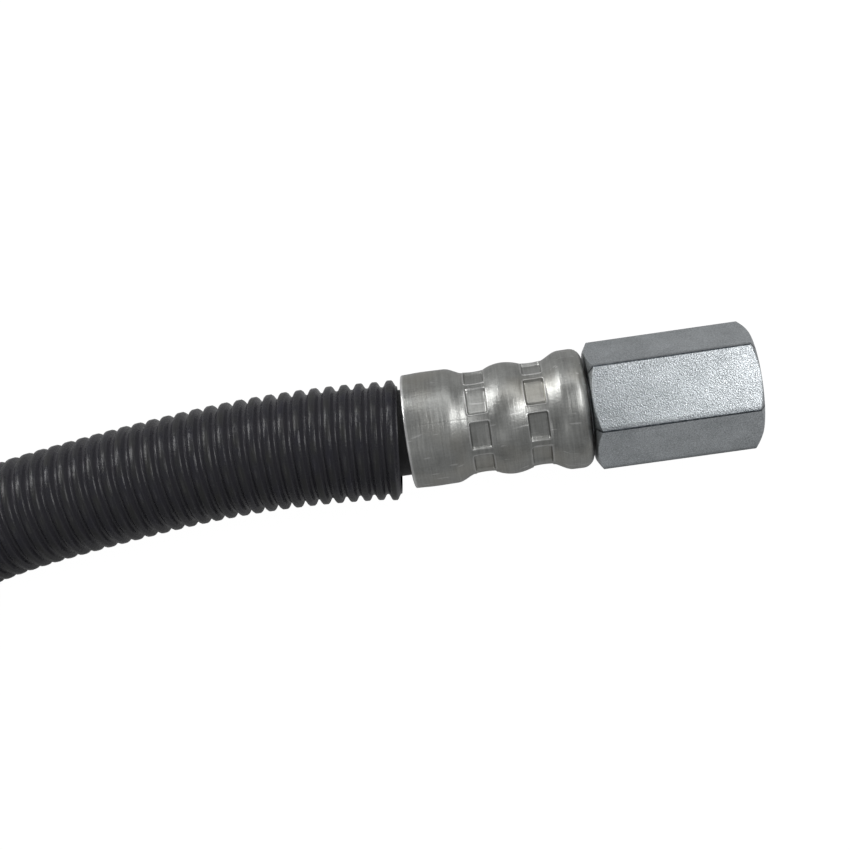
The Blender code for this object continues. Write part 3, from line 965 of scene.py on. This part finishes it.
@dataclass
class Sleeve:
    """The ribbed plastic tube that lies loose over the hose."""

    line: SmoothLine
    clearance: float = 0.00125
    wall: float = 0.0005
    rib_height: float = 0.00115
    rib_pitch: float = 0.00291
    flank: Span = (0.28, 0.92)
    crest_bow: float = 0.10
    end_flare: float = 0.00015
    end_gap: float = 0.0020
    end_tip: float = 0.05
    drop: float = 0.0001
    shift: float = 0.00135
    widening: float = 0.0004
    loose_run: float = 0.045
    sides: int = 48
    inner_share: float = 0.8
    crest_shade_power: int = 4
    rib_rows: tuple[float, ...] = (
        0.08, 0.13, 0.18, 0.23, 0.28, 0.36, 0.5, 0.64, 0.72, 0.77, 0.82, 0.87, 0.92, 1.0)

    @property
    def length(self) -> float:
        """Length of the sleeve along its middle."""
        return self.line.length - 2 * self.end_gap

    def looseness(self, distance: float) -> float:
        """1 at either end of the sleeve, falling to 0 where it lies straight on the hose."""
        to_end = min(distance, self.length - distance)
        return max(0.0, 1.0 - to_end / self.loose_run)

    def centre(self, distance: float) -> np.ndarray:
        """The middle of the sleeve, which leans to the inside of the bend at its two ends."""
        along = self.end_gap + distance
        lean = self.shift * self.looseness(distance) ** 3
        return self.line.point(along) + self.line.sideways(along) * lean

    def ring(self, distance: float, radius: float) -> Ring:
        """A ring square to the sleeve's own middle."""
        low = max(0.0, distance - SmoothLine.STEP)
        high = min(self.length, distance + SmoothLine.STEP)
        step = self.centre(high) - self.centre(low)
        step = step / np.linalg.norm(step)
        side = np.array((-step[1], step[0]))
        looseness = self.looseness(distance)
        outward = step if distance > self.length / 2 else -step
        centre = self.centre(distance)
        wider = self.widening * looseness
        ring = level_ring(centre, side, SIZES.axis_height - self.drop, radius, self.sides, wider)
        tip = outward * self.end_tip * looseness ** 2
        height = SIZES.axis_height
        return [(x + tip[0] * (z - height), y + tip[1] * (z - height), z) for x, y, z in ring]

    def rib_form(self, share: float) -> float:
        """Height of a rib from 0 to 1 at a share of the pitch: round crest, steep flanks, flat groove."""
        off = abs(2 * share - 1)
        return (1 - self.crest_bow * off * off) * (1 - soft_step(off, *self.flank))

    def mesh(self) -> bpy.types.Mesh:
        """Build the ribs outside, and the same inside, a wall smaller."""
        ribs = round(self.length / self.rib_pitch)
        pitch = self.length / ribs
        bore = SIZES.radius + self.clearance
        groove = bore + self.wall
        rings = [self.ring(0.0, groove)]
        marks = [0.0]
        travel = [0.0]
        inner = [self.ring(0.0, bore)]
        for rib in range(ribs):
            height = self.rib_height + (self.end_flare if rib in (0, ribs - 1) else 0.0)
            for share in self.rib_rows:
                form = self.rib_form(share)
                rings.append(self.ring((rib + share) * pitch, groove + height * form))
                # The edge mark is 1 on the crests, which the finish leaves darker as painted shade, and 0 in
                # the grooves.
                marks.append(form ** self.crest_shade_power)
                travel.append((rib + share) * pitch)
            inner.append(self.ring((rib + 0.5) * pitch, bore + self.rib_height * self.inner_share))
            inner.append(self.ring((rib + 1) * pitch, bore))
        rings += inner[::-1]
        marks += [0.0] * len(inner)
        travel += [0.0] * len(inner)
        named = {"edge": marks, "travel": travel}
        rounds = {key: [[value] * self.sides for value in row] for key, row in named.items()}
        return shell_mesh("sleeve", rings, rounds, sharp=70.0)


@dataclass
class Studio:
    """The floor, the lamps and the camera."""

    distance: float = 0.258
    focal_length: float = 54.7
    sensor_width: float = 36.0
    nearest: float = 0.01
    aim: Span = (-0.0308, 0.0009)
    stand: Span = (-0.0156, -0.0013)
    up: Point = (0.139, 0.990, 0.0)
    floor_half: float = 4.0
    floor_colour: Colour = (0.47, 0.47, 0.47, 1.0)
    floor_white: float = 1.12
    floor_seen_share: float = 0.88
    floor_mirrored_share: float = 0.10
    sky_colour: Colour = (0.98, 0.99, 1.0, 1.0)
    world_level: float = 0.30

    def camera(self) -> None:
        """Look down on the near end of the hose, as the photograph does."""
        data = bpy.data.cameras.new("photo_camera")
        data.sensor_width = self.sensor_width
        data.lens = self.focal_length
        data.clip_start = self.nearest
        camera = new_object("photo_camera", data)
        stand = Vector((*self.stand, SIZES.axis_height + self.distance))
        ahead = (Vector((*self.aim, SIZES.axis_height)) - stand).normalized()
        right = ahead.cross(Vector(self.up)).normalized()
        upward = right.cross(ahead)
        turn = Matrix((right, upward, -ahead)).transposed()
        camera.matrix_world = Matrix.Translation(stand) @ turn.to_4x4()
        bpy.context.scene.camera = camera

    def floor(self) -> None:
        """A pale floor that the camera sees as white."""
        half = self.floor_half
        mesh = bpy.data.meshes.new("floor")
        corners = [(-half, -half, 0), (half, -half, 0), (half, half, 0), (-half, half, 0)]
        mesh.from_pydata(corners, [], [(0, 1, 2, 3)])
        floor = new_object("floor", mesh)
        material = bpy.data.materials.new("floor_white")
        material.use_nodes = True
        bench = NodeBench(material.node_tree)
        bench.tree.nodes.clear()
        rays = bench.add("ShaderNodeLightPath")
        seen = bench.math("MULTIPLY", rays.outputs["Is Camera Ray"], self.floor_seen_share)
        mirrored = bench.math("MAXIMUM", rays.outputs["Is Glossy Ray"], rays.outputs["Is Transmission Ray"])
        share = bench.math("MULTIPLY_ADD", mirrored, self.floor_mirrored_share, seen)
        plain = bench.add("ShaderNodeBsdfDiffuse", {"Color": self.floor_colour})
        white = bench.add("ShaderNodeEmission", {"Color": WHITE, "Strength": self.floor_white})
        mixed = bench.add("ShaderNodeMixShader", {0: share, 1: plain.outputs[0], 2: white.outputs[0]})
        bench.add("ShaderNodeOutputMaterial", {"Surface": mixed.outputs[0]})
        mesh.materials.append(material)

    def lamp(self, name: str, place: Point, size: Span, level: float) -> None:
        """Hang a softbox that points at the near end.

        Args:
            name: Name of the lamp.
            place: Where it hangs.
            size: Its width and height.
            level: How bright its face is, where 1 is white.
        """
        data = bpy.data.lights.new(name, "AREA")
        data.shape = "RECTANGLE"
        data.size, data.size_y = size
        data.energy = level * math.pi * size[0] * size[1]
        lamp = new_object(name, data)
        lamp.location = place
        aim = Vector((0.0, 0.0, SIZES.axis_height)) - Vector(place)
        lamp.rotation_euler = aim.to_track_quat("-Z", "Y").to_euler()

    def lamps(self) -> None:
        """Softboxes round and above the hose, under an even pale sky that the camera sees as white."""
        world = bpy.data.worlds.new("pale_sky")
        world.use_nodes = True
        bench = NodeBench(world.node_tree)
        bench.tree.nodes.clear()
        rays = bench.add("ShaderNodeLightPath")
        sky = bench.add("ShaderNodeBackground", {"Color": self.sky_colour, "Strength": self.world_level})
        white = bench.add("ShaderNodeBackground", {"Color": WHITE, "Strength": 1.0})
        seen = rays.outputs["Is Camera Ray"]
        mixed = bench.add("ShaderNodeMixShader", {0: seen, 1: sky.outputs[0], 2: white.outputs[0]})
        bench.add("ShaderNodeOutputWorld", {"Surface": mixed.outputs[0]})
        bpy.context.scene.world = world
        self.lamp("left_softbox", (-0.45, 0.48, 0.30), (0.46, 0.18), 8.0)
        self.lamp("right_softbox", (0.47, 0.24, 0.58), (0.28, 0.28), 6.5)
        self.lamp("back_softbox", (0.16, 0.64, 0.42), (0.50, 0.20), 2.0)
        self.lamp("top_softbox", (0.26, 0.14, 0.73), (0.26, 0.26), 3.0)
        self.lamp("front_softbox", (-0.34, -0.42, 0.62), (0.26, 0.26), 1.0)


class HosePart:
    """The whole object: two ends, the hose between them and its sleeve."""

    def __init__(self) -> None:
        """Lay out the route and make the finishes."""
        self.line = SmoothLine(hose_route(np.array((SIZES.mouth_x, 0.0))), (-1.0, 0.0), (1.0, 0.0))
        effects = Effects()
        self.zinc = ZincFinish().material(effects)
        self.steel = SteelFinish().material(effects)
        self.rubber = RubberFinish().material(effects)
        self.plastic = PlasticFinish().material(effects)

    def place_of(self, end: End) -> Vector:
        """Where an end's ferrule has its mouth."""
        distance = 0.0 if end is End.NEAR else self.line.length
        return Vector((*self.line.point(distance), SIZES.axis_height))

    def end_pieces(self, end: End) -> list[bpy.types.Object]:
        """Build the coupling and the ferrule of one end."""
        prefix = "" if end is End.NEAR else "far_"
        pieces = []
        for name, maker, material, slot, node in (
            ("hexagonal_coupling", Coupling(), self.zinc, Slot.ZINC, "end_coupling"),
            ("pressed_ferrule", Ferrule(), self.steel, Slot.STEEL, "crimp_ferrule"),
        ):
            piece = add_piece(prefix + name, maker.mesh(), material, [prefix + node])
            piece.location = self.place_of(end)
            pieces.append(piece)
        return pieces

    def build(self) -> None:
        """Build and dress every piece, and log the length of the hose between its ferrules."""
        self.end_pieces(End.NEAR)
        far = self.end_pieces(End.FAR)
        sleeve_mesh = Sleeve(self.line).mesh()
        sleeve = add_piece("ribbed_sleeve", sleeve_mesh, self.plastic, ["convoluted_sleeve"])
        hose_plan = Hose(self.line)
        hose = add_piece("hose_line", hose_plan.mesh(), self.rubber, ["rubber_hose"])
        tuple(self.place_of(End.NEAR))
        self.line.length + 2 * SIZES.hose_end_x
        hose_plan.centreline()
        LOG.info("hose: %.1f mm between the ferrules", self.line.length * 1000)


def main() -> None:
    """Build the studio and the part."""
    logging.basicConfig(level=logging.INFO, format="%(name)s %(message)s")
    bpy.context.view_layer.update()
    bpy.context.scene.view_settings.view_transform = "Standard"
    studio = Studio()
    studio.camera()
    studio.floor()
    studio.lamps()
    HosePart().build()


if __name__ == "__main__":
    main()
